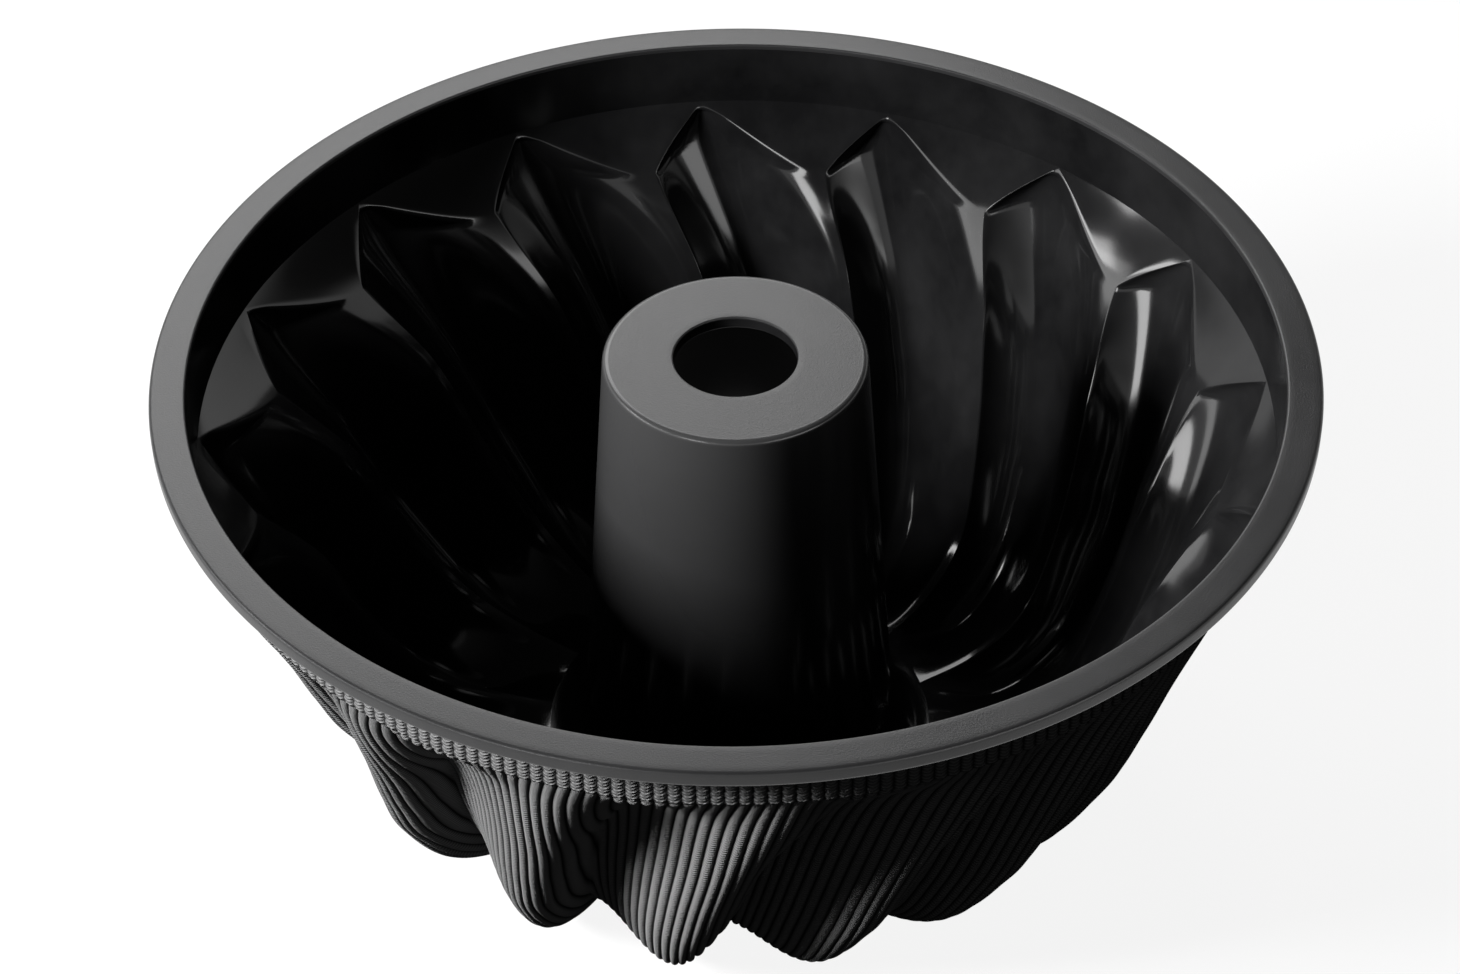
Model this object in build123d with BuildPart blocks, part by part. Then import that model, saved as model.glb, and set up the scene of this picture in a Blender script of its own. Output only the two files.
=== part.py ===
from build123d import *
import math
import os

os.makedirs("parts", exist_ok=True)

# Ring cake mould in soft rubber: a flat rim, leaning flutes and an open chimney.
# Lengths are in millimetres and angles in degrees. +Z points up, the mould stands on z = 0,
# and the Z axis runs through the chimney. A drop is a depth below the rim's top face.

# Rim flange, and the smooth band and collar below it
rim_radius = 125.0
rim_width = 7.6
rim_thickness = 3.6
rim_edge_round = 0.7
band_draft = 1.0
band_drop = 15.4
collar_wall = 2.6
collar_drop = 14.8
collar_step = 0.6
collar_lap = 3.0
shoulder_step = 0.3
shoulder_lap = 2.0

# Wall and foot
wall = 2.4
foot_flat_depth = 0.4

# Flutes: ridges lie between them, and the bottom of each lies nearer to the ridge ahead of it
flute_count = 16
flute_start_angle = 10.3
flute_skew_share = 0.70
flute_fullness_share = 0.80
flute_edge_share = 0.10

# Ridge line on the cake's side: shares of the way out to the band and down to the floor
ridge_radius_shares = (0.842, 0.671, 0.575, 0.486, 0.3625, 0.182)
ridge_drop_shares = (0.128, 0.350, 0.556, 0.725, 0.8785, 0.963)
ridge_start_share = 0.828

# Flutes: how far their bottoms lie outside and below the ridge line
flute_depth = 11.2
flute_depth_shares = (0.75, 0.9375, 1.0, 1.0, 0.67, 0.40)
flute_dip = 6.5
flute_dip_shares = (-0.385, 0.308, 0.077, 0.077, 0.77, 1.0)

# Stations down the wall, the twist at each, and the places of the lofted wires
station_shares = (0.0, 0.12, 0.30, 0.48, 0.64, 0.78, 0.90, 1.0)
twist_angles = (0.1, 0.1, -5.0, -8.3, -11.0, -14.4, -16.6, -18.1)
loft_shares = (0.06, 0.12, 0.22, 0.36, 0.50, 0.64, 0.77, 0.87, 0.94, 0.98)
slope_step_share = 0.01

# Places across a flute, from ridge to ridge, closer together at the ridges
place_shares = (0.0, 0.05, 0.12, 0.22, 0.34, 0.47, 0.60, 0.71, 0.80, 0.87, 0.93, 0.97)

# Chimney
floor_drop = 110.0
chimney_top_drop = 0.6
chimney_top_radius = 28.6
chimney_foot_radius = 36.4
chimney_wall = 2.8
chimney_root_round = 8.0
chimney_top_round = 1.6
chimney_hole_radius = 13.4
root_seat = 0.4

# Steel wire ring moulded into the rim
ring_wire_radius = 1.0
ring_clearance = 0.05

# One overrun serves all cuts
overrun = 2.0

# Heights and radii worked out from the sizes above
band_radius = rim_radius - rim_width - band_draft
collar_radius = band_radius + collar_wall
floor_radius = chimney_foot_radius + chimney_root_round
under_radius = chimney_foot_radius - chimney_wall
wall_run = band_radius - floor_radius
wall_fall = floor_drop - band_drop
flute_pitch = 360.0 / flute_count
skew_power = math.log(0.5) / math.log(flute_skew_share)

# Radius and drop of the ridges and of the flute bottoms from the shoulder to the foot
ridge_line_radii = [floor_radius + share * wall_run for share in ridge_radius_shares]
ridge_line_drops = [band_drop + share * wall_fall for share in ridge_drop_shares]
flute_line_radii = [
    radius + share * flute_depth for radius, share in zip(ridge_line_radii, flute_depth_shares)
]
flute_line_drops = [drop + share * flute_dip for drop, share in zip(ridge_line_drops, flute_dip_shares)]
ridge_start_radius = floor_radius + ridge_start_share * wall_run

# Heights that follow from the foot, and the shoulder's cone
rim_z = flute_line_drops[-1] + wall - foot_flat_depth
floor_z = rim_z - floor_drop
chimney_top_z = rim_z - chimney_top_drop
shoulder_slope = (ridge_line_radii[0] - band_radius) / (ridge_line_drops[0] - band_drop)
cone_foot_radius = ridge_line_radii[0] + shoulder_slope * shoulder_lap
cone_foot_drop = ridge_line_drops[0] + shoulder_lap

# The same lines with their ends at the band and at the floor's circle
ridge_radii = (band_radius, *ridge_line_radii, floor_radius)
inner_ridge_radii = (ridge_start_radius, *ridge_line_radii, floor_radius)
ridge_drops = (band_drop, *ridge_line_drops, floor_drop)
flute_radii = (band_radius, *flute_line_radii, floor_radius)
inner_flute_radii = (band_radius - shoulder_step, *flute_line_radii, floor_radius)
flute_drops = (band_drop, *flute_line_drops, floor_drop)


def slope(values, index):
    """Change of a value with the share of the way down, at a station."""
    left, right = max(index - 1, 0), min(index + 1, len(station_shares) - 1)
    return (values[right] - values[left]) / (station_shares[right] - station_shares[left])


def blend(values, share):
    """Smooth value at a share of the way down, through one value for each station."""
    place = max(i for i, start in enumerate(station_shares[:-1]) if start <= max(share, 0.0))
    span = station_shares[place + 1] - station_shares[place]
    step = (share - station_shares[place]) / span
    rise_share = step * step * (3 - 2 * step)
    enter = step * (1 - step) * (1 - step) * span * slope(values, place)
    leave = step * step * (step - 1) * span * slope(values, place + 1)
    return values[place] + rise_share * (values[place + 1] - values[place]) + enter + leave


def depth_share(place):
    """Depth of the flute, 0 on a rounded ridge and 1 along its bottom, at a place across it."""
    sharp = math.sin(math.pi * place**skew_power) ** flute_fullness_share
    least = math.hypot(1.0, flute_edge_share) - flute_edge_share
    return (math.hypot(sharp, flute_edge_share) - flute_edge_share) / least


def turned_point(radius, angle, height):
    """Point at a radius and an angle round the Z axis."""
    return Vector(radius * math.cos(math.radians(angle)), radius * math.sin(math.radians(angle)), height)


def line_point(radii, drops, share, out):
    """Radius and drop on a line down the wall, moved out by a length square to the line."""
    above, below = share - slope_step_share, share + slope_step_share
    run = blend(radii, below) - blend(radii, above)
    fall = blend(drops, below) - blend(drops, above)
    length = math.hypot(run, fall)
    return blend(radii, share) + out * fall / length, blend(drops, share) - out * run / length


def fluted_points(ridges, flutes, share, out):
    """Points round the wall at a share of the way down, moved out by a length."""
    ridge_radius, ridge_drop = line_point(ridges, ridge_drops, share, out)
    flute_radius, flute_drop = line_point(flutes, flute_drops, share, out)
    points = []
    for flute in range(flute_count):
        for place in place_shares:
            depth = depth_share(place)
            radius = ridge_radius + depth * (flute_radius - ridge_radius)
            drop = ridge_drop + depth * (flute_drop - ridge_drop)
            angle = flute_start_angle + flute_pitch * (flute + place) + blend(twist_angles, share)
            points.append(turned_point(radius, angle, rim_z - drop))
    return points


def closed_wire(points):
    """Smooth closed wire through points, with an even parameter from point to point."""
    steps = [index / len(points) for index in range(len(points) + 1)]
    return Wire([Edge.make_spline(points, periodic=True, parameters=steps)])


def level_wire(points, radius, drop):
    """Level circle at the same angles as the given points."""
    angles = [math.degrees(math.atan2(point.Y, point.X)) for point in points]
    return closed_wire([turned_point(radius, angle, rim_z - drop) for angle in angles])


# Outer side: a short collar, the fluted wall and the floor's circle
outer_rings = [fluted_points(ridge_radii, flute_radii, share, wall) for share in loft_shares]
collar_drops = (collar_drop - collar_lap, collar_drop)
collar_wires = [level_wire(outer_rings[0], collar_radius - collar_step, drop) for drop in collar_drops]
outer_floor = level_wire(outer_rings[-1], floor_radius, floor_drop + wall)
fluted_shell = Solid.make_loft([*collar_wires, *map(closed_wire, outer_rings), outer_floor])

# Inner side: the flutes start at the band and break through the shoulder in arches
inner_shares = (0.0, *loft_shares)
inner_rings = [fluted_points(inner_ridge_radii, inner_flute_radii, share, 0) for share in inner_shares]
inner_floor = level_wire(inner_rings[-1], floor_radius, floor_drop)
cake_space = Solid.make_loft([*map(closed_wire, inner_rings), inner_floor])

# Mould body: rim, collar, fluted wall, floor and chimney in one rubber moulding
with BuildPart() as mould_body:
    # Rim flange and collar, still closed like a lid
    with BuildSketch(Plane.XZ) as lid:
        with BuildLine():
            Polyline(
                (0, rim_z),
                (rim_radius, rim_z),
                (rim_radius, rim_z - rim_thickness),
                (collar_radius, rim_z - rim_thickness),
                (collar_radius, rim_z - collar_drop),
                (0, rim_z - collar_drop),
                close=True,
            )
        make_face()
        fillet(lid.vertices().group_by(Axis.X)[-1], radius=rim_edge_round)
    revolve(axis=Axis.Z)
    add(fluted_shell)

    # Space for the cake: its fluted part, then the shoulder's cone and the smooth band above it
    add(cake_space, mode=Mode.SUBTRACT)
    with BuildSketch(Plane.XZ):
        with BuildLine():
            Polyline(
                (0, rim_z),
                (rim_radius - rim_width, rim_z),
                (band_radius, rim_z - band_drop),
                (cone_foot_radius, rim_z - cone_foot_drop),
                (0, rim_z - cone_foot_drop),
                close=True,
            )
        make_face()
    revolve(axis=Axis.Z, mode=Mode.SUBTRACT)

    # Chimney on the floor, with its rounded root and top edge
    with BuildSketch(Plane.XZ) as post:
        with BuildLine():
            Polyline(
                (0, floor_z - root_seat),
                (floor_radius - root_seat, floor_z - root_seat),
                (floor_radius - root_seat, floor_z),
                (chimney_foot_radius, floor_z),
                (chimney_top_radius, chimney_top_z),
                (0, chimney_top_z),
                close=True,
            )
        make_face()
        fillet(
            post.vertices().sort_by_distance((chimney_foot_radius, floor_z))[0],
            radius=chimney_root_round - root_seat,
        )
        fillet(
            post.vertices().sort_by_distance((chimney_top_radius, chimney_top_z))[0],
            radius=chimney_top_round,
        )
    revolve(axis=Axis.Z)

    # Hollow under the chimney, with a rounded mouth that follows the root
    with BuildSketch(Plane.XZ) as hollow:
        with BuildLine():
            Polyline(
                (0, floor_z - wall - overrun),
                (floor_radius - root_seat, floor_z - wall - overrun),
                (floor_radius - root_seat, floor_z - wall),
                (under_radius, floor_z - wall),
                (chimney_top_radius - chimney_wall, chimney_top_z - chimney_wall),
                (0, chimney_top_z - chimney_wall),
                close=True,
            )
        make_face()
        fillet(
            hollow.vertices().sort_by_distance((under_radius, floor_z - wall))[0],
            radius=chimney_root_round + wall - root_seat,
        )
    revolve(axis=Axis.Z, mode=Mode.SUBTRACT)

    # Hole through the chimney's top
    with BuildSketch(Plane.XY.offset(chimney_top_z + overrun)):
        Circle(chimney_hole_radius)
    extrude(amount=-(chimney_wall + 2 * overrun), mode=Mode.SUBTRACT)

    # Channel that the wire ring fills
    with BuildSketch(Plane.XZ):
        with Locations((rim_radius - rim_width / 2, rim_z - rim_thickness / 2)):
            Circle(ring_wire_radius + ring_clearance)
    revolve(axis=Axis.Z, mode=Mode.SUBTRACT)

    # Flat on the foot of each flute
    with BuildSketch(Plane.XY):
        Circle(rim_radius)
    extrude(amount=-overrun, mode=Mode.SUBTRACT)
mould_body.part.label = "mould_body"
export_step(mould_body.part, "parts/mould_body.step")

# Rim ring: a closed ring of round steel wire, sealed in the rim
with BuildPart() as rim_ring:
    with BuildSketch(Plane.XZ):
        with Locations((rim_radius - rim_width / 2, rim_z - rim_thickness / 2)):
            Circle(ring_wire_radius)
    revolve(axis=Axis.Z)
rim_ring.part.label = "rim_ring"
export_step(rim_ring.part, "parts/rim_ring.step")
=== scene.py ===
"""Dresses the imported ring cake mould: its glossy lining, satin rim, ribbed outside and light.

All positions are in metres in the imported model's frame: +Z up, the mould's feet on z = 0,
the Z axis through the chimney. Sizes are written in millimetres and turned to metres by MM.
"""

import logging
import math
from dataclasses import dataclass
from enum import Enum

import bpy
import numpy as np
from mathutils import Matrix, Vector


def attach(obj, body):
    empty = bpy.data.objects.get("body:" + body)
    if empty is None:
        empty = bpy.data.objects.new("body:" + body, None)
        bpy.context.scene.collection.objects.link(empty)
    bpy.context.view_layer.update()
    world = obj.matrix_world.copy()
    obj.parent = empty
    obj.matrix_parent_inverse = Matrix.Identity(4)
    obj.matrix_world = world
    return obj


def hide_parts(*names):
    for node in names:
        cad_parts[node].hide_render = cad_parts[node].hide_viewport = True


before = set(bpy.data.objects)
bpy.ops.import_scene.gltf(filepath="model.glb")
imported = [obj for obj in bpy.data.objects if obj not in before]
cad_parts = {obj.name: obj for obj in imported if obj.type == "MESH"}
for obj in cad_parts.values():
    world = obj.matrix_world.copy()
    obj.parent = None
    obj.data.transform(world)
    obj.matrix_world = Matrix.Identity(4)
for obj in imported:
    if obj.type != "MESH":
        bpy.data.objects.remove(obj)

LOG = logging.getLogger("mould")
MM = 0.001
BODY = "root"
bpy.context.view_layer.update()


class Facing(Enum):
    """Side of a grid that its faces point to, seen with rows down and columns to the right."""

    FRONT = 1
    BACK = -1


# ---- Meshes from grids ----


def grid_piece(
    name: str, points: np.ndarray, ring: bool, facing: Facing, uv: np.ndarray | None = None
) -> bpy.types.Object:
    """Makes a smooth mesh object from a grid of points.

    The face at row i and column j joins the points (i, j), (i + 1, j), (i + 1, j + 1) and
    (i, j + 1), in that order or its reverse.

    Args:
        name: Name of the object and its mesh.
        points: Array of shape (rows, columns, 3), in metres.
        ring: Whether the last column joins the first.
        facing: Which side of the grid is the outside.
        uv: Array of shape (rows, columns or columns + 1, 2) for the UV map, if the piece has one.

    Returns:
        The new object, linked to the scene.
    """
    rows, columns = points.shape[:2]
    spans = columns if ring else columns - 1
    row, col = np.meshgrid(np.arange(rows - 1), np.arange(spans), indexing="ij")
    nxt = (col + 1) % columns
    corners = np.stack(
        [row * columns + col, (row + 1) * columns + col, (row + 1) * columns + nxt, row * columns + nxt], -1
    ).reshape(-1, 4)
    if facing is Facing.BACK:
        corners = corners[:, ::-1]
    mesh = bpy.data.meshes.new(name)
    mesh.vertices.add(rows * columns)
    mesh.vertices.foreach_set("co", points.reshape(-1).astype(np.float32))
    mesh.loops.add(corners.size)
    mesh.loops.foreach_set("vertex_index", corners.reshape(-1).astype(np.int32))
    mesh.polygons.add(len(corners))
    mesh.polygons.foreach_set("loop_start", np.arange(0, corners.size, 4, dtype=np.int32))
    mesh.polygons.foreach_set("use_smooth", np.ones(len(corners), dtype=bool))
    if uv is not None:
        width = uv.shape[1]
        first = row * width + col
        flat = np.stack([first, first + width, first + width + 1, first + 1], -1).reshape(-1, 4)
        if facing is Facing.BACK:
            flat = flat[:, ::-1]
        layer = mesh.uv_layers.new(name="along")
        layer.data.foreach_set("uv", uv.reshape(-1, 2)[flat.reshape(-1)].reshape(-1).astype(np.float32))
    mesh.update(calc_edges=True)
    mesh.validate()
    piece = bpy.data.objects.new(name, mesh)
    bpy.context.scene.collection.objects.link(piece)
    return piece


def rounded_profile(corners: list[tuple[float, float]], rounds: list[float], steps: int = 6) -> np.ndarray:
    """Rounds the corners of an open profile.

    Each corner P between A and C becomes a quadratic curve from P + t (A - P) to P + t (C - P)
    with P as its middle control point, where t sets the round's length along each side.

    Args:
        corners: (radius, height) pairs in millimetres.
        rounds: Length cut from both sides at each corner, in millimetres; 0 keeps it sharp.
        steps: Spans of each round.

    Returns:
        Array of shape (n, 2), in millimetres.
    """
    found = []
    for index, (corner, cut) in enumerate(zip(corners, rounds)):
        middle = np.array(corner, float)
        if cut <= 0 or index in (0, len(corners) - 1):
            found.append(middle[None])
            continue
        before = np.array(corners[index - 1], float) - middle
        after = np.array(corners[index + 1], float) - middle
        start = middle + before / np.linalg.norm(before) * cut
        end = middle + after / np.linalg.norm(after) * cut
        t = np.linspace(0, 1, steps + 1)[:, None]
        found.append((1 - t) ** 2 * start + 2 * t * (1 - t) * middle + t**2 * end)
    return np.concatenate(found)


def split_long(profile: np.ndarray, longest: float) -> np.ndarray:
    """Adds even points to a profile's long spans.

    Args:
        profile: Array of shape (n, 2), in millimetres.
        longest: Longest span kept, in millimetres.

    Returns:
        Array of shape (m, 2), in millimetres.
    """
    found = [profile[:1]]
    for start, end in zip(profile[:-1], profile[1:]):
        count = max(1, math.ceil(np.linalg.norm(end - start) / longest))
        share = np.arange(1, count + 1)[:, None] / count
        found.append(start + share * (end - start))
    return np.concatenate(found)


def turned(profile: np.ndarray, columns: int) -> np.ndarray:
    """Turns a profile about the Z axis: (r cos a, r sin a, h) for each (r, h) and angle a.

    Args:
        profile: Array of shape (n, 2) of radius and height, in millimetres.
        columns: Number of angles round the circle.

    Returns:
        Array of shape (n, columns, 3), in metres.
    """
    angle = np.arange(columns) * (2 * math.pi / columns)
    radius, height = profile[:, :1], profile[:, 1:]
    return np.stack(
        [radius * np.cos(angle), radius * np.sin(angle), np.broadcast_to(height, (len(profile), columns))], -1
    ) * MM


# ---- Shape of the fluted wall ----


@dataclass(frozen=True)
class MouldSizes:
    """Named sizes of the mould in millimetres; a drop is a depth below the rim's top face."""

    rim_height: float = 115.0
    rim_radius: float = 125.0
    rim_width: float = 7.6
    rim_thickness: float = 3.6
    band_radius: float = 116.4
    band_drop: float = 15.4
    collar_radius: float = 119.0
    collar_drop: float = 14.8
    wall: float = 2.4
    floor_drop: float = 110.0
    floor_radius: float = 44.4
    flute_count: int = 16
    start_angle: float = 10.3
    skew: float = 0.70
    fullness: float = 0.82
    ribs_per_flute: int = 17
    chimney_top_drop: float = 0.6
    chimney_top_radius: float = 28.6
    chimney_foot_radius: float = 36.4
    chimney_wall: float = 2.8
    chimney_hole_radius: float = 13.4


SIZES = MouldSizes()


@dataclass(frozen=True)
class WallStations:
    """Radius, drop and twist at stations down the wall, with smooth values between them."""

    shares: tuple[float, ...] = (0.0, 0.12, 0.30, 0.48, 0.64, 0.78, 0.90, 1.0)
    twists: tuple[float, ...] = (0.1, 0.1, -5.0, -8.3, -11.0, -14.4, -16.6, -18.1)
    ridge_radii: tuple[float, ...] = (116.4, 105.0, 92.7, 85.8, 79.4, 70.5, 57.5, 44.4)
    ridge_drops: tuple[float, ...] = (15.4, 27.5, 48.5, 68.0, 84.0, 98.5, 106.5, 110.0)
    flute_radii: tuple[float, ...] = (116.4, 113.4, 103.2, 97.0, 90.6, 78.0, 62.0, 44.4)
    flute_drops: tuple[float, ...] = (15.4, 25.0, 50.5, 68.5, 84.5, 103.5, 112.6, 110.0)
    lobe_radii: tuple[float, ...] = (118.1, 116.0, 105.4, 99.2, 93.1, 80.2, 64.0, 44.4)
    lobe_drops: tuple[float, ...] = (14.9, 24.5, 51.8, 70.4, 86.6, 106.6, 114.9, 112.6)

    def smooth(self, values: tuple[float, ...], share: np.ndarray) -> np.ndarray:
        """Cubic Hermite curve through one value for each station.

        The slope at a station is the difference of its neighbours' values over that of their
        shares, and the value between two stations follows the usual Hermite basis.

        Args:
            values: One value for each station.
            share: Shares of the way down, 0 at the band line and 1 at the floor.

        Returns:
            The values at those shares.
        """
        s, v = np.array(self.shares), np.array(values)
        left = np.maximum(np.arange(len(s)) - 1, 0)
        right = np.minimum(np.arange(len(s)) + 1, len(s) - 1)
        slope = (v[right] - v[left]) / (s[right] - s[left])
        at = np.clip(np.searchsorted(s, share, side="right") - 1, 0, len(s) - 2)
        span = s[at + 1] - s[at]
        t = (share - s[at]) / span
        rise = t * t * (3 - 2 * t)
        enter = t * (1 - t) ** 2 * span * slope[at]
        leave = t * t * (t - 1) * span * slope[at + 1]
        return v[at] + rise * (v[at + 1] - v[at]) + enter + leave


WALL = WallStations()


def flute_depth(
    place: np.ndarray, edge_round: float | np.ndarray, skew: float | np.ndarray = SIZES.skew
) -> np.ndarray:
    """Depth of a skewed flute: sin(pi x^k)^p, with k set so that the deepest place is the skew.

    The tip at zero depth is rounded: d becomes sqrt(d^2 + e^2) - e, scaled back to reach 1.

    Args:
        place: Place across the flute, 0 and 1 on its two ridges.
        edge_round: Size e of the round.
        skew: Deepest place, between 0 and 1.

    Returns:
        Depth shares from 0 to 1.
    """
    power = math.log(0.5) / np.log(skew)
    inside = np.clip(place, 0.0, 1.0)
    raw = np.abs(np.sin(np.pi * inside**power)) ** SIZES.fullness
    return (np.sqrt(raw**2 + edge_round**2) - edge_round) / (np.sqrt(1 + edge_round**2) - edge_round)


def wall_point(
    turn: np.ndarray,
    twist: np.ndarray,
    depth: np.ndarray,
    ridge: tuple[np.ndarray, np.ndarray],
    low: tuple[np.ndarray, np.ndarray],
) -> np.ndarray:
    """Points of the wall: radius and drop mixed from ridge to flute bottom by the depth share.

    Args:
        turn: Turn round the axis, counted in flutes.
        twist: Twist in degrees.
        depth: Depth share of each point.
        ridge: Radius and drop along the ridges.
        low: Radius and drop along the flute bottoms.

    Returns:
        Array with a last axis of 3, in metres.
    """
    radius = ridge[0] + depth * (low[0] - ridge[0])
    drop = ridge[1] + depth * (low[1] - ridge[1])
    angle = np.radians(SIZES.start_angle + 360.0 / SIZES.flute_count * turn + twist)
    return np.stack([radius * np.cos(angle), radius * np.sin(angle), SIZES.rim_height - drop], -1) * MM


def outward(points: np.ndarray) -> np.ndarray:
    """Unit normals of a grid whose columns go round counter-clockwise, pointing off the axis.

    The normal is the cross product of the differences along the columns and down the rows.
    """
    around = np.gradient(points, axis=1)
    down = np.gradient(points, axis=0)
    normal = np.cross(down, around)
    return normal / np.maximum(np.linalg.norm(normal, axis=-1, keepdims=True), 1e-12)


# ---- Finishes ----


class NodeSheet:
    """Short helper that adds and joins nodes in one material."""

    def __init__(self, name: str) -> None:
        """Starts an empty material with an output node."""
        self.material = bpy.data.materials.new(name)
        self.material.use_nodes = True
        self.tree = self.material.node_tree
        self.tree.nodes.clear()
        self.output = self.tree.nodes.new("ShaderNodeOutputMaterial")

    def add(self, kind: str, settings: dict[str, object] | None = None, **values: object) -> bpy.types.Node:
        """Adds a node.

        Args:
            kind: Blender's name of the node type.
            settings: Properties of the node.
            **values: Input sockets' values, by name with spaces as underscores.

        Returns:
            The node.
        """
        node = self.tree.nodes.new(kind)
        for key, value in (settings or {}).items():
            setattr(node, key, value)
        for key, value in values.items():
            node.inputs[key.replace("_", " ")].default_value = value
        return node

    def join(self, source: bpy.types.NodeSocket, target: bpy.types.NodeSocket) -> None:
        """Links an output socket to an input socket."""
        self.tree.links.new(source, target)

    def math(self, operation: str, first: object, second: object = 0.0) -> bpy.types.NodeSocket:
        """Adds a math node on two sockets or numbers and returns its output."""
        node = self.add("ShaderNodeMath", {"operation": operation})
        for index, item in enumerate((first, second)):
            if isinstance(item, bpy.types.NodeSocket):
                self.join(item, node.inputs[index])
            else:
                node.inputs[index].default_value = float(item)
        return node.outputs[0]

    def shades(
        self, factor: bpy.types.NodeSocket, stops: list[tuple[float, tuple[float, float, float]]]
    ) -> bpy.types.NodeSocket:
        """Adds a colour ramp with the given stops and returns its colour."""
        ramp = self.add("ShaderNodeValToRGB")
        while len(ramp.color_ramp.elements) < len(stops):
            ramp.color_ramp.elements.new(0.5)
        for element, (place, colour) in zip(ramp.color_ramp.elements, stops):
            element.position = place
            element.color = (*colour, 1.0)
        self.join(factor, ramp.inputs["Fac"])
        return ramp.outputs["Color"]

    def spread(self, factor: bpy.types.NodeSocket, low: float, high: float) -> bpy.types.NodeSocket:
        """Maps 0..1 to low..high and returns the result."""
        node = self.add("ShaderNodeMapRange", None, To_Min=low, To_Max=high)
        self.join(factor, node.inputs["Value"])
        return node.outputs["Result"]


@dataclass(frozen=True)
class GlossyRubber:
    """Polished black rubber of the cake's side: near black, mirror-like, with faint waviness."""

    base: tuple[float, float, float] = (0.0035, 0.0035, 0.0037)
    dust: tuple[float, float, float] = (0.010, 0.010, 0.0103)
    roughness: tuple[float, float] = (0.085, 0.14)
    wave: float = 0.00022

    def make(self) -> bpy.types.Material:
        """Builds the material."""
        sheet = NodeSheet("glossy_rubber")
        place = sheet.add("ShaderNodeTexCoord").outputs["Object"]
        shader = sheet.add("ShaderNodeBsdfPrincipled", None, IOR=1.43)
        film = sheet.add("ShaderNodeTexNoise", None, Scale=34.0, Detail=5.0, Roughness=0.62)
        sheet.join(place, film.inputs["Vector"])
        tint = sheet.shades(film.outputs["Fac"], [(0.35, self.base), (0.75, self.dust)])
        sheet.join(tint, shader.inputs["Base Color"])
        sheet.join(sheet.spread(film.outputs["Fac"], *self.roughness), shader.inputs["Roughness"])
        swell = sheet.add("ShaderNodeTexNoise", None, Scale=26.0, Detail=1.5)
        sheet.join(place, swell.inputs["Vector"])
        bump = sheet.add("ShaderNodeBump", None, Strength=1.0, Distance=self.wave)
        sheet.join(swell.outputs["Fac"], bump.inputs["Height"])
        sheet.join(bump.outputs["Normal"], shader.inputs["Normal"])
        sheet.join(shader.outputs["BSDF"], sheet.output.inputs["Surface"])
        return sheet.material


@dataclass(frozen=True)
class ChimneyRubber:
    """Rubber of the chimney's side: soft sheen at the top and polished to its root, with painted shade that
    turns its colour blacker towards the root.
    """

    # Painted shade: low is the colour at the root, darkened as if shaded, and high is the colour at the top.
    low: tuple[float, float, float] = (0.0035, 0.0035, 0.0037)
    high: tuple[float, float, float] = (0.026, 0.026, 0.0264)
    roughness: tuple[float, float] = (0.12, 0.25)
    heights: tuple[float, float] = (0.030, 0.112)

    def make(self) -> bpy.types.Material:
        """Builds the material: a ramp over the height above the feet, clouded by noise, sets the roughness
        and a painted shade that darkens the colour towards the root.
        """
        sheet = NodeSheet("chimney_rubber")
        place = sheet.add("ShaderNodeTexCoord").outputs["Object"]
        shader = sheet.add("ShaderNodeBsdfPrincipled", None, IOR=1.43)
        parts = sheet.add("ShaderNodeSeparateXYZ")
        sheet.join(place, parts.inputs["Vector"])
        rise = sheet.add("ShaderNodeMapRange", None, From_Min=self.heights[0], From_Max=self.heights[1])
        sheet.join(parts.outputs["Z"], rise.inputs["Value"])
        film = sheet.add("ShaderNodeTexNoise", None, Scale=34.0, Detail=5.0, Roughness=0.62)
        sheet.join(place, film.inputs["Vector"])
        cloud = sheet.math("MULTIPLY", sheet.math("SUBTRACT", film.outputs["Fac"], 0.5), 0.25)
        # Painted shade: worn here is a ramp that darkens the colour towards the root, where the rim shades
        # the side; it also sets the roughness.
        worn = sheet.math("ADD", rise.outputs["Result"], cloud)
        sheet.join(sheet.shades(worn, [(0.0, self.low), (1.0, self.high)]), shader.inputs["Base Color"])
        sheet.join(sheet.spread(worn, *self.roughness), shader.inputs["Roughness"])
        sheet.join(shader.outputs["BSDF"], sheet.output.inputs["Surface"])
        return sheet.material


@dataclass(frozen=True)
class SatinRubber:
    """Fine-blasted black rubber of the rim and the chimney's top."""

    base: tuple[float, float, float] = (0.012, 0.012, 0.0124)
    worn: tuple[float, float, float] = (0.019, 0.019, 0.0194)
    roughness: tuple[float, float] = (0.30, 0.38)
    grain: float = 0.00003

    def make(self) -> bpy.types.Material:
        """Builds the material."""
        sheet = NodeSheet("satin_rubber")
        place = sheet.add("ShaderNodeTexCoord").outputs["Object"]
        shader = sheet.add("ShaderNodeBsdfPrincipled", None, IOR=1.45, Specular_IOR_Level=0.42)
        cloud = sheet.add("ShaderNodeTexNoise", None, Scale=55.0, Detail=6.0, Roughness=0.6)
        sheet.join(place, cloud.inputs["Vector"])
        tint = sheet.shades(cloud.outputs["Fac"], [(0.3, self.base), (0.8, self.worn)])
        sheet.join(tint, shader.inputs["Base Color"])
        sheet.join(sheet.spread(cloud.outputs["Fac"], *self.roughness), shader.inputs["Roughness"])
        pores = sheet.add("ShaderNodeTexNoise", None, Scale=2600.0, Detail=2.0)
        sheet.join(place, pores.inputs["Vector"])
        bump = sheet.add("ShaderNodeBump", None, Strength=1.0, Distance=self.grain)
        sheet.join(pores.outputs["Fac"], bump.inputs["Height"])
        sheet.join(bump.outputs["Normal"], shader.inputs["Normal"])
        sheet.join(shader.outputs["BSDF"], sheet.output.inputs["Surface"])
        return sheet.material


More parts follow.
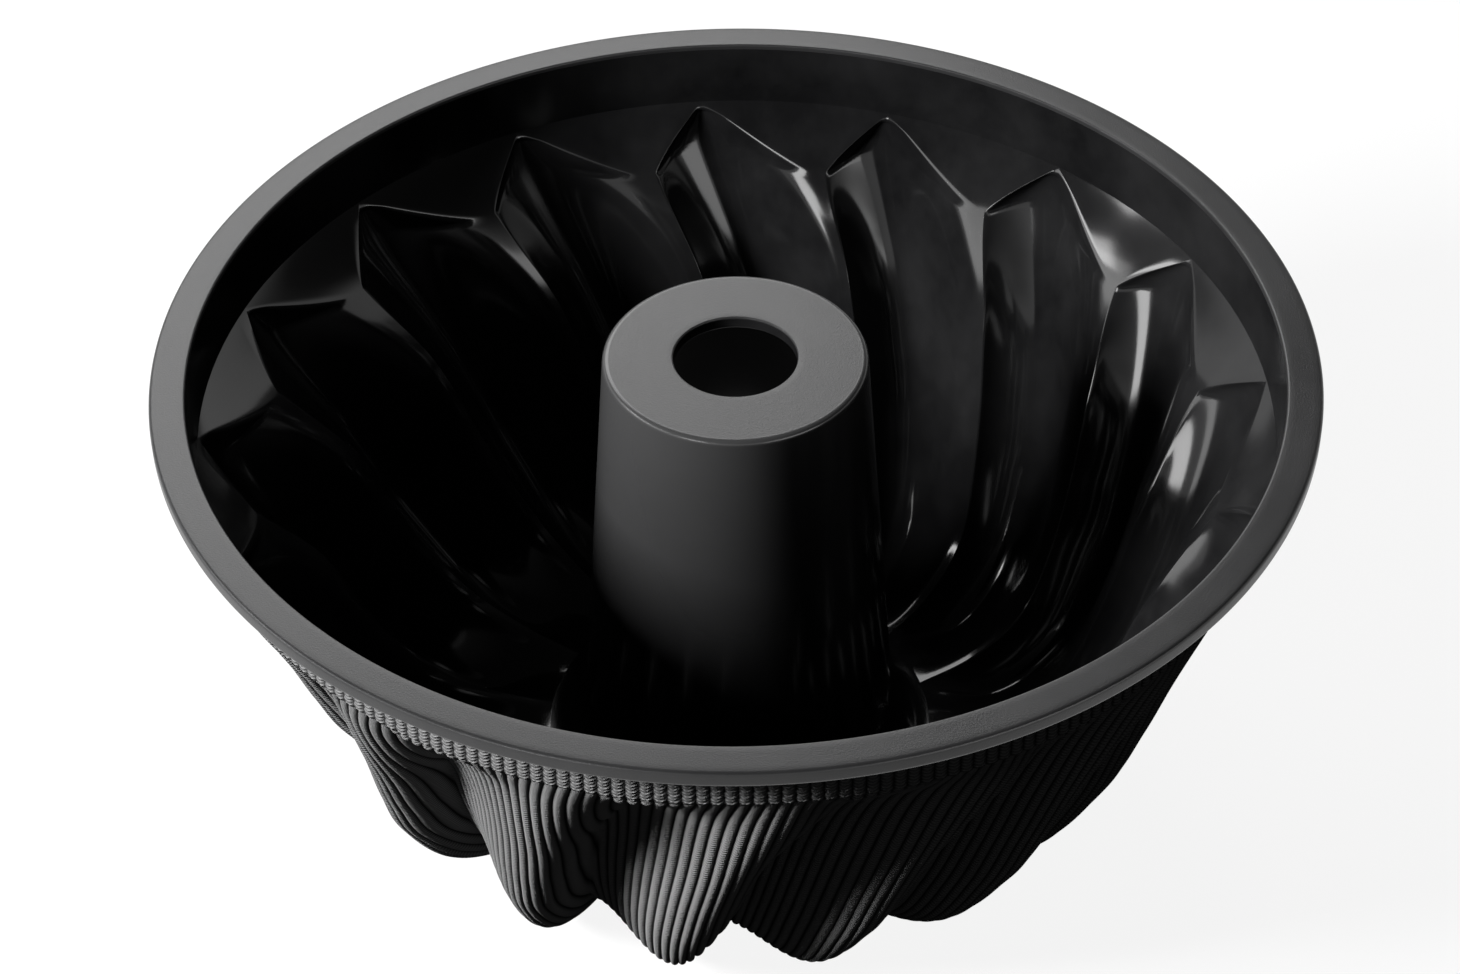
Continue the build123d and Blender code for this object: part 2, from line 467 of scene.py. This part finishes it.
@dataclass(frozen=True)
class KnitRubber:
    """Matte black rubber with the moulded relief of a rib knit, drawn from the UV map, and painted shade and
    sheen in its colour: dark in the grooves and between stitches, a lighter grey on the crowns.

    U counts ribs and V is the length along a rib in millimetres. The stitches are slanted
    waves that change direction at the middle of each rib.
    """

    name: str = "knit_rubber"
    # Painted shade and sheen: groove is the colour darkened in the grooves, and crown is a lighter grey on
    # the crowns than the rubber's own black.
    groove: tuple[float, float, float] = (0.010, 0.010, 0.0101)
    crown: tuple[float, float, float] = (0.16, 0.16, 0.161)
    roughness: float = 0.70
    stitch_length: float = 0.85
    stitch_depth: float = 0.00022

    def make(self) -> bpy.types.Material:
        """Builds the material."""
        sheet = NodeSheet(self.name)
        settings = {"IOR": 1.40, "Roughness": self.roughness, "Specular_IOR_Level": 0.0}
        shader = sheet.add("ShaderNodeBsdfPrincipled", None, **settings)
        uv = sheet.add("ShaderNodeUVMap", {"uv_map": "along"})
        parts = sheet.add("ShaderNodeSeparateXYZ")
        sheet.join(uv.outputs["UV"], parts.inputs["Vector"])
        across = sheet.math("FRACT", parts.outputs["X"])
        off_middle = sheet.math("ABSOLUTE", sheet.math("SUBTRACT", across, 0.5))
        slanted = sheet.math("ADD", parts.outputs["Y"], sheet.math("MULTIPLY", off_middle, 1.1))
        phase = sheet.math("MULTIPLY", slanted, 2 * math.pi / self.stitch_length)
        stitch = sheet.math("ADD", sheet.math("MULTIPLY", sheet.math("SINE", phase), 0.5), 0.5)
        edge = sheet.math("POWER", sheet.math("MULTIPLY", off_middle, 2.0), 3.0)
        rounded = sheet.math("SUBTRACT", 1.0, edge)
        place = sheet.add("ShaderNodeTexCoord").outputs["Object"]
        fuzz = sheet.add("ShaderNodeTexNoise", None, Scale=900.0, Detail=3.0)
        sheet.join(place, fuzz.inputs["Vector"])
        knots, nap = sheet.math("MULTIPLY", stitch, rounded), sheet.math("MULTIPLY", fuzz.outputs["Fac"], 0.5)
        height = sheet.math("ADD", knots, nap)
        # Painted shade: the colour is darkest at the rib edges and between stitches, and lightest on the
        # crowns.
        painted_knit_shade = sheet.math("MULTIPLY", rounded, sheet.spread(stitch, 0.45, 1.0))
        tint = sheet.shades(painted_knit_shade, [(0.05, self.groove), (0.85, self.crown)])
        sheet.join(tint, shader.inputs["Base Color"])
        bump = sheet.add("ShaderNodeBump", None, Strength=1.0, Distance=self.stitch_depth)
        sheet.join(height, bump.inputs["Height"])
        sheet.join(bump.outputs["Normal"], shader.inputs["Normal"])
        sheet.join(shader.outputs["BSDF"], sheet.output.inputs["Surface"])
        return sheet.material


@dataclass(frozen=True)
class DrawnWire:
    """Drawn steel wire with fine lines round its length."""

    base: tuple[float, float, float] = (0.50, 0.50, 0.51)
    bright: tuple[float, float, float] = (0.62, 0.62, 0.63)

    def make(self) -> bpy.types.Material:
        """Builds the material."""
        sheet = NodeSheet("drawn_wire")
        place = sheet.add("ShaderNodeTexCoord").outputs["Object"]
        shader = sheet.add("ShaderNodeBsdfPrincipled", None, Metallic=1.0)
        lines = sheet.add("ShaderNodeTexNoise", None, Scale=800.0, Detail=3.0)
        sheet.join(place, lines.inputs["Vector"])
        tint = sheet.shades(lines.outputs["Fac"], [(0.3, self.base), (0.7, self.bright)])
        sheet.join(tint, shader.inputs["Base Color"])
        sheet.join(sheet.spread(lines.outputs["Fac"], 0.22, 0.4), shader.inputs["Roughness"])
        sheet.join(shader.outputs["BSDF"], sheet.output.inputs["Surface"])
        return sheet.material


@dataclass(frozen=True)
class PaleFloor:
    """White studio floor: partly self-lit where it is seen, and quiet where it only bounces light."""

    seen_paint: tuple[float, float, float] = (0.80, 0.80, 0.80)
    bounce_paint: tuple[float, float, float] = (0.02, 0.02, 0.02)
    shown: float = 0.89

    def make(self) -> bpy.types.Material:
        """Builds the material."""
        sheet = NodeSheet("pale_floor")
        glow = sheet.add("ShaderNodeEmission", None, Color=(1, 1, 1, 1), Strength=1.0)
        paint = sheet.add("ShaderNodeBsdfDiffuse", None, Color=(*self.seen_paint, 1.0))
        quiet = sheet.add("ShaderNodeBsdfDiffuse", None, Color=(*self.bounce_paint, 1.0))
        rays = sheet.add("ShaderNodeLightPath")
        clear = sheet.math("MAXIMUM", rays.outputs["Is Camera Ray"], rays.outputs["Is Transmission Ray"])
        seen = sheet.math("MAXIMUM", clear, rays.outputs["Is Glossy Ray"])
        backdrop = sheet.add("ShaderNodeMixShader", None, Fac=self.shown)
        sheet.join(paint.outputs["BSDF"], backdrop.inputs[1])
        sheet.join(glow.outputs["Emission"], backdrop.inputs[2])
        mix = sheet.add("ShaderNodeMixShader")
        sheet.join(seen, mix.inputs["Fac"])
        sheet.join(quiet.outputs["BSDF"], mix.inputs[1])
        sheet.join(backdrop.outputs["Shader"], mix.inputs[2])
        sheet.join(mix.outputs["Shader"], sheet.output.inputs["Surface"])
        return sheet.material


# ---- Pieces ----


def dress(piece: bpy.types.Object, material: bpy.types.Material) -> bpy.types.Object:
    """Gives a piece its material and its body, and reports it."""
    piece.data.materials.clear()
    piece.data.materials.append(material)
    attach(piece, BODY)
    LOG.info("%s: %d faces", piece.name, len(piece.data.polygons))
    return piece


@dataclass
class CakeLining:
    """The fluted lining from the band line to the floor's inner circle."""

    columns: int = 60
    arch_rows: int = 26
    wall_rows: int = 78
    arch_share: float = 0.12
    widest_opening: float = 0.975
    edge_round: float = 0.055
    tip_round: float = 0.26
    tip_skew: float = 0.67
    arch_crowding: float = 1.15
    land_columns: int = 10
    edge_crowding: float = 0.6
    start_share: float = 0.03

    def shares(self) -> np.ndarray:
        """Shares of the way down, close together in the arches."""
        arches = self.arch_share * np.linspace(0, 1, self.arch_rows, endpoint=False) ** self.arch_crowding
        below = self.arch_share + (1 - self.arch_share) * np.linspace(0, 1, self.wall_rows)
        return np.concatenate([arches, below])

    def places(self) -> np.ndarray:
        """Grid places across one flute: -1..0 crosses the land before it and 0..1 the flute."""
        land = np.linspace(-1, 0, self.land_columns, endpoint=False)
        even = np.linspace(0, 1, self.columns - self.land_columns, endpoint=False)
        crowded = 0.5 - 0.5 * np.cos(np.pi * even)
        return np.concatenate([land, self.edge_crowding * crowded + (1 - self.edge_crowding) * even])

    def points(self) -> np.ndarray:
        """Grid of the lining.

        Above the arch share a flute's two edges close towards its deepest line in proportion
        to the share, which draws the pointed arches; lands fill the width between flutes. Near
        the tips the round is wider and the deepest line lies nearer the middle.

        Returns:
            Array of shape (rows, columns, 3), in metres.
        """
        share = self.shares()
        opening = np.minimum(share / self.arch_share, 1.0) * self.widest_opening
        place = np.tile(self.places(), SIZES.flute_count)
        flute = np.repeat(np.arange(SIZES.flute_count), self.columns)
        left = SIZES.skew * (1 - opening)
        right = SIZES.skew + (1 - SIZES.skew) * opening - 1
        on_land = place < 0
        across = np.where(
            on_land,
            left[:, None] + place * (left - right)[:, None],
            left[:, None] + place * opening[:, None],
        )
        near = np.clip(1 - share / (2 * self.arch_share), 0, 1)[:, None]
        skew = SIZES.skew + (self.tip_skew - SIZES.skew) * near
        depth = np.where(on_land, 0.0, flute_depth(place, self.edge_round + self.tip_round * near, skew))
        grow = np.clip(share / self.start_share, 0, 1)[:, None]
        ridge = tuple(WALL.smooth(line, share)[:, None] for line in (WALL.ridge_radii, WALL.ridge_drops))
        low = tuple(WALL.smooth(line, share)[:, None] for line in (WALL.flute_radii, WALL.flute_drops))
        twist = WALL.smooth(WALL.twists, share)[:, None]
        return wall_point(flute + across, twist, depth * grow, ridge, low)

    def build(self, finish: bpy.types.Material) -> list[bpy.types.Object]:
        """Builds the lining."""
        piece = grid_piece("flute_lining", self.points(), True, Facing.BACK)
        return [dress(piece, finish)]


@dataclass
class RimFlange:
    """The flat rim with its thick edge, and the smooth band inside it."""

    columns: int = 512
    edge_round: float = 0.9
    inner_round: float = 0.5
    lip_drop: float = 1.2
    lip_draft: float = 0.06
    under_lap: float = 0.3

    def build(self, satin: bpy.types.Material, glossy: bpy.types.Material) -> list[bpy.types.Object]:
        """Builds the flange and the band."""
        top, s = SIZES.rim_height, SIZES
        inner = s.rim_radius - s.rim_width
        flange = rounded_profile(
            [
                (inner - self.lip_draft, top - self.lip_drop),
                (inner, top),
                (s.rim_radius, top),
                (s.rim_radius, top - s.rim_thickness),
                (s.collar_radius - self.under_lap, top - s.rim_thickness),
            ],
            [0, self.inner_round, self.edge_round, self.edge_round, 0],
        )
        band = np.array([(inner - self.lip_draft, top - self.lip_drop), (s.band_radius, top - s.band_drop)])
        made = []
        for name, profile, longest, finish in (
            ("rim_flange", flange, 1.4, satin),
            ("inner_band", band, 1.5, glossy),
        ):
            points = turned(split_long(profile, longest), self.columns)
            made.append(dress(grid_piece(name, points, True, Facing.FRONT), finish))
        return made


@dataclass
class Chimney:
    """The tapered chimney: its satin top, its side with the rounded root, and its hollow."""

    columns: int = 256
    top_round: float = 1.3
    root_round: float = 8.0
    hole_round: float = 0.4
    hole_seam: float = 0.5

    def build(
        self, satin: bpy.types.Material, sheen: bpy.types.Material, dark: bpy.types.Material
    ) -> list[bpy.types.Object]:
        """Builds the top, the side and the hollow below with the wall of the hole."""
        s = SIZES
        top = s.rim_height - s.chimney_top_drop
        floor = s.rim_height - s.floor_drop
        under = floor - s.wall
        roof = rounded_profile(
            [
                (s.chimney_hole_radius, top - self.hole_seam),
                (s.chimney_hole_radius, top),
                (s.chimney_top_radius - self.top_round, top),
            ],
            [0, self.hole_round, 0],
        )
        side = rounded_profile(
            [
                (s.chimney_top_radius - self.top_round, top),
                (s.chimney_top_radius, top),
                (s.chimney_foot_radius, floor),
                (s.floor_radius, floor),
            ],
            [0, self.top_round * 0.99, self.root_round * 0.99, 0],
            steps=16,
        )
        hollow = rounded_profile(
            [
                (s.chimney_hole_radius, top - self.hole_seam),
                (s.chimney_hole_radius, top - s.chimney_wall),
                (s.chimney_top_radius - s.chimney_wall, top - s.chimney_wall),
                (s.chimney_foot_radius - s.chimney_wall, under),
                (s.floor_radius, under),
            ],
            [0, 0.2, 1.0, 9.9, 0],
            steps=12,
        )
        made = []
        for name, profile, longest, facing, finish in (
            ("chimney_top", roof, 1.5, Facing.FRONT, satin),
            ("chimney_side", side, 2.5, Facing.FRONT, sheen),
            ("chimney_hollow", hollow, 3.0, Facing.BACK, dark),
        ):
            points = turned(split_long(profile, longest), self.columns)
            made.append(dress(grid_piece(name, points, True, facing), finish))
        return made


@dataclass
class RibbedSkin:
    """The outside of the flutes, covered with ribs that run down from the collar.

    The ribs lean less than the flutes, so they run out on the flutes' steep sides.
    """

    rows: int = 112
    rib_height: float = 0.65
    rib_lean: float = -12.5
    rib_places: tuple[float, ...] = (0.0, 0.07, 0.17, 0.32, 0.50, 0.68, 0.83, 0.93)
    start_radius: float = 118.3
    start_drop: float = 14.6
    start_rows: int = 5
    edge_round: float = 0.04
    rib_power: float = 2.5
    fade_share: float = 0.20
    start_step: float = 0.5
    parts: int = 4

    def points(self) -> tuple[np.ndarray, np.ndarray]:
        """Grid and UV map of the whole skin.

        A rib's section is a flattened half round: height h (1 - |2 f - 1|^p), where f is the
        place across the rib. It fades out towards the foot. The first rows lead from a level
        ring under the collar to the fluted wall.

        Returns:
            Array (rows, columns + 1, 3) in metres and array (rows, columns + 1, 2) of ribs and
            millimetres; the last column repeats the first.
        """
        share = np.linspace(0, 1, self.rows)
        count = SIZES.ribs_per_flute * SIZES.flute_count
        place = (np.arange(count)[:, None] + np.array(self.rib_places)).reshape(-1)
        place = np.append(place, float(count))
        turn = place / SIZES.ribs_per_flute
        smooth = WALL.smooth
        ridge_r, ridge_d = smooth(WALL.ridge_radii, share), smooth(WALL.ridge_drops, share)
        run_r, run_d = np.gradient(ridge_r), np.gradient(ridge_d)
        length = np.hypot(run_r, run_d)
        ridge = (
            (ridge_r + run_d / length * SIZES.wall)[:, None],
            (ridge_d - run_r / length * SIZES.wall)[:, None],
        )
        low = (smooth(WALL.lobe_radii, share)[:, None], smooth(WALL.lobe_drops, share)[:, None])
        lean = self.rib_lean * (ridge_d - SIZES.band_drop) / SIZES.rim_radius
        twist = smooth(WALL.twists, share)
        across = turn[None, :] + ((lean - twist) / (360.0 / SIZES.flute_count))[:, None]
        depth = flute_depth(across % 1.0, self.edge_round)
        points = wall_point(turn[None, :], lean[:, None], depth, ridge, low)
        ring = (np.full_like(turn, self.start_radius), np.full_like(turn, self.start_drop))
        first = wall_point(turn, np.full_like(turn, lean[0]), np.ones_like(turn), ring, ring)
        step = np.linspace(0, 1, self.start_rows, endpoint=False)[:, None, None]
        points = np.concatenate([first + step * (points[0] - first), points])
        closed = np.concatenate([points[:, -2:-1], points, points[:, 1:2]], 1)
        normal = outward(closed)[:, 1:-1]
        rib = 1 - np.abs(2 * (place % 1.0) - 1) ** self.rib_power
        fade = np.concatenate([np.ones(self.start_rows), np.clip((1 - share) / self.fade_share, 0, 1)])
        points = points + normal * (rib[None, :, None] - 1) * (self.rib_height * MM) * fade[:, None, None]
        points[..., 2] = np.maximum(points[..., 2], 0.0)
        steps = np.concatenate([np.full(self.start_rows, self.start_step), length])
        along = np.cumsum(steps)[:, None] * np.ones_like(place)
        return points, np.stack([np.broadcast_to(place, along.shape), along], -1)

    def build(self, finish: bpy.types.Material) -> list[bpy.types.Object]:
        """Builds the skin in parts that meet in a groove between two ribs."""
        points, uv = self.points()
        width = (points.shape[1] - 1) // self.parts
        made = []
        for index in range(self.parts):
            cut = slice(index * width, (index + 1) * width + 1)
            piece = grid_piece(f"ribbed_skin_{index + 1}", points[:, cut], False, Facing.FRONT, uv[:, cut])
            made.append(dress(piece, finish))
        return made


@dataclass
class KnitCollar:
    """The upright collar under the flange, with a zig-zag knit strand above each rib."""

    columns_per_rib: int = 8
    rows: int = 44
    strand_height: float = 0.55
    zigzag: float = 0.12
    zigzag_length: float = 1.7
    knot_share: float = 0.16
    strand_power: float = 4.0
    top_lap: float = 0.2
    foot_rise: float = 0.1
    foot_radii: tuple[float, float, float] = (118.6, 117.6, 116.6)
    foot_strands: tuple[float, float, float] = (0.5, 0.0, 0.0)

    def points(self) -> tuple[np.ndarray, np.ndarray]:
        """Grid and UV map of the collar.

        The strand's middle wanders by a triangle wave of its height. Across the strand the
        height falls as 1 - |2 f - 1|^p, and slanted knots swell it along its length. The last
        rows turn in under the collar.
        """
        s = SIZES
        top, bottom = s.rim_height - s.rim_thickness + self.top_lap, s.rim_height - s.collar_drop
        upright = self.rows - len(self.foot_radii)
        foot = [bottom, bottom + self.foot_rise, bottom + self.foot_rise]
        height = np.concatenate([np.linspace(top, bottom, upright), foot])
        base = np.concatenate([np.full(upright, s.collar_radius), self.foot_radii])
        lip = np.concatenate([np.ones(upright), self.foot_strands])
        per = s.ribs_per_flute * self.columns_per_rib
        turn = np.arange(per * s.flute_count + 1) / per
        place = turn * s.ribs_per_flute
        phase = (top - height) / self.zigzag_length
        wander = self.zigzag * (2 * np.abs(2 * (phase % 1.0) - 1) - 1)
        fraction = (place[None, :] + wander[:, None]) % 1.0
        off_middle = np.abs(2 * fraction - 1)
        knot = 1 - self.knot_share * (1 - np.cos(2 * np.pi * (2 * phase[:, None] + off_middle)))
        strand = (1 - off_middle**self.strand_power) * knot
        radius = base[:, None] - self.strand_height * lip[:, None] * (1 - strand)
        angle = np.radians(s.start_angle + 360.0 / s.flute_count * turn)
        level, fallen, ribs = (
            np.broadcast_to(values, radius.shape)
            for values in (height[:, None], (top - height)[:, None], place)
        )
        points = np.stack([radius * np.cos(angle), radius * np.sin(angle), level], -1)
        return points * MM, np.stack([ribs, fallen], -1)

    def build(self, finish: bpy.types.Material) -> list[bpy.types.Object]:
        """Builds the collar."""
        points, uv = self.points()
        piece = grid_piece("knit_collar", points[:, :-1], True, Facing.FRONT, uv)
        return [dress(piece, finish)]


# ---- Studio ----


class Reach(Enum):
    """What a lamp lights: everything, only the matt share of faces, or only their shine."""

    ALL = "all"
    MATT = "matt"
    SHINE = "shine"


@dataclass(frozen=True)
class SoftLamp:
    """A rectangular lamp: place and size in metres, power in watts."""

    name: str
    place: tuple[float, float, float]
    size: tuple[float, float]
    power: float
    reach: Reach


@dataclass
class Studio:
    """Floor, world, soft lamps and the camera.

    The camera's distance and sensor are in millimetres, all other lengths in metres.
    """

    lamps: tuple[SoftLamp, ...] = (
        SoftLamp("left_window", (-1.10, -0.36, 0.66), (0.34, 0.30), 60.0, Reach.MATT),
        SoftLamp("left_card", (-1.16, -0.20, 0.62), (1.0, 0.45), 5.6, Reach.SHINE),
        SoftLamp("left_core", (-1.06, 0.06, 0.76), (0.26, 0.20), 2.0, Reach.SHINE),
        SoftLamp("front_card", (-0.64, -0.92, 0.56), (0.34, 0.26), 3.6, Reach.SHINE),
        SoftLamp("back_window", (-0.24, 0.93, 0.84), (0.80, 0.45), 7.0, Reach.ALL),
        SoftLamp("right_card", (0.85, -0.85, 0.30), (0.90, 0.46), 4.2, Reach.SHINE),
    )
    sky: tuple[tuple[float, float], ...] = ((0.0, 1.0), (0.30, 1.0), (0.48, 0.07), (0.85, 0.02))
    dim: float = 0.045
    elevation: float = 41.21
    distance: float = 750.0
    focal_pixels: float = 3501.0
    picture_width: float = 1460.0
    picture_height: float = 974.0
    rim_pixel: tuple[float, float] = (737.1, 354.1)
    roll: float = 0.72
    sensor_width: float = 36.0
    lamp_target: tuple[float, float, float] = (0.0, 0.0, 0.07)
    floor_half: float = 6.0
    floor_points: int = 25

    def floor(self) -> None:
        """Builds the floor, a level sheet far larger than the view."""
        across = np.linspace(-self.floor_half, self.floor_half, self.floor_points)
        x, y = np.meshgrid(across, across)
        grid = np.stack([x, y, np.zeros_like(x)], -1)
        floor = grid_piece("studio_floor", grid, False, Facing.BACK)
        floor.data.materials.append(PaleFloor().make())

    def world(self) -> None:
        """Builds the world: white near the horizon, darker overhead, dim for diffuse light.

        The share of white falls with the height of the ray above the horizon, and the dim light
        that reaches matt faces is an even grey.
        """
        world = bpy.data.worlds.new("studio_world")
        bpy.context.scene.world = world
        world.use_nodes = True
        tree = world.node_tree
        tree.nodes.clear()
        rays = tree.nodes.new("ShaderNodeLightPath")
        place = tree.nodes.new("ShaderNodeTexCoord")
        parts = tree.nodes.new("ShaderNodeSeparateXYZ")
        fall = tree.nodes.new("ShaderNodeValToRGB")
        tree.links.new(place.outputs["Generated"], parts.inputs["Vector"])
        tree.links.new(parts.outputs["Z"], fall.inputs["Fac"])
        ramp = fall.color_ramp
        ramp.interpolation = "EASE"
        while len(ramp.elements) < len(self.sky):
            ramp.elements.new(0.5)
        for element, (height, grey) in zip(ramp.elements, self.sky):
            element.position = height
            element.color = (grey, grey, grey, 1.0)
        seen = tree.nodes.new("ShaderNodeBackground")
        dim = tree.nodes.new("ShaderNodeBackground")
        mix = tree.nodes.new("ShaderNodeMixShader")
        out = tree.nodes.new("ShaderNodeOutputWorld")
        direct = tree.nodes.new("ShaderNodeMath")
        shown = tree.nodes.new("ShaderNodeMath")
        for node, first, second in (
            (direct, rays.outputs["Is Camera Ray"], rays.outputs["Is Glossy Ray"]),
            (shown, direct.outputs["Value"], rays.outputs["Is Transmission Ray"]),
        ):
            node.operation = "MAXIMUM"
            tree.links.new(first, node.inputs[0])
            tree.links.new(second, node.inputs[1])
        seen.inputs["Strength"].default_value = 1.0
        dim.inputs["Color"].default_value = (self.dim, self.dim, self.dim, 1.0)
        dim.inputs["Strength"].default_value = 1.0
        tree.links.new(fall.outputs["Color"], seen.inputs["Color"])
        tree.links.new(shown.outputs["Value"], mix.inputs["Fac"])
        tree.links.new(dim.outputs["Background"], mix.inputs[1])
        tree.links.new(seen.outputs["Background"], mix.inputs[2])
        tree.links.new(mix.outputs["Shader"], out.inputs["Surface"])

    def lights(self) -> None:
        """Places the soft lamps, each turned to the middle of the mould."""
        target = Vector(self.lamp_target)
        for item in self.lamps:
            lamp = bpy.data.lights.new(item.name, "AREA")
            lamp.shape = "RECTANGLE"
            lamp.size, lamp.size_y = item.size
            lamp.energy = item.power
            holder = bpy.data.objects.new(item.name, lamp)
            holder.visible_camera = False
            holder.visible_diffuse = item.reach is not Reach.SHINE
            holder.visible_glossy = item.reach is not Reach.MATT
            bpy.context.scene.collection.objects.link(holder)
            away = Vector(item.place) - target
            turn = away.to_track_quat("Z", "Y").to_matrix().to_4x4()
            holder.matrix_world = Matrix.Translation(Vector(item.place)) @ turn

    def camera(self) -> None:
        """Places the camera solved from the photograph.

        The rim's centre lies at the given distance along the view direction and at the given
        pixel, and the picture is turned by the roll about its middle.
        """
        tilt, roll = math.radians(self.elevation), math.radians(self.roll)
        forward = Vector((0, math.cos(tilt), -math.sin(tilt)))
        up, right = Vector((0, math.sin(tilt), math.cos(tilt))), Vector((1, 0, 0))
        aside = -(self.rim_pixel[0] - self.picture_width / 2) / self.focal_pixels * self.distance
        above = (self.rim_pixel[1] - self.picture_height / 2) / self.focal_pixels * self.distance
        rim = Vector((0, 0, SIZES.rim_height))
        place = (rim - forward * self.distance + right * aside + up * above) * MM
        x_axis = right * math.cos(roll) - up * math.sin(roll)
        y_axis = right * math.sin(roll) + up * math.cos(roll)
        data = bpy.data.cameras.new("camera")
        data.sensor_width = self.sensor_width
        data.lens = self.focal_pixels / self.picture_width * data.sensor_width
        data.clip_start, data.clip_end = 0.01, 50.0
        data.dof.use_dof = False
        camera = bpy.data.objects.new("camera", data)
        turn = Matrix((x_axis, y_axis, -forward)).transposed().to_4x4()
        camera.matrix_world = Matrix.Translation(place) @ turn
        bpy.context.scene.collection.objects.link(camera)
        bpy.context.scene.camera = camera

    def build(self) -> None:
        """Builds the whole studio."""
        self.floor()
        self.world()
        self.lights()
        self.camera()


def main() -> None:
    """Builds the pieces in order and reports them."""
    logging.basicConfig(level=logging.INFO)
    bpy.context.scene.view_settings.view_transform = "Standard"
    Studio().build()
    glossy, satin, knit = GlossyRubber().make(), SatinRubber().make(), KnitRubber().make()
    pieces = CakeLining().build(glossy)
    pieces += RimFlange().build(satin, glossy)
    pieces += Chimney().build(satin, ChimneyRubber().make(), glossy)
    pieces += RibbedSkin().build(knit)
    pieces += KnitCollar().build(knit)
    for piece in pieces:
        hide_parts("mould_body")
    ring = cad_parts["rim_ring"]
    ring.data.materials.clear()
    ring.data.materials.append(DrawnWire().make())


if __name__ == "__main__":
    main()
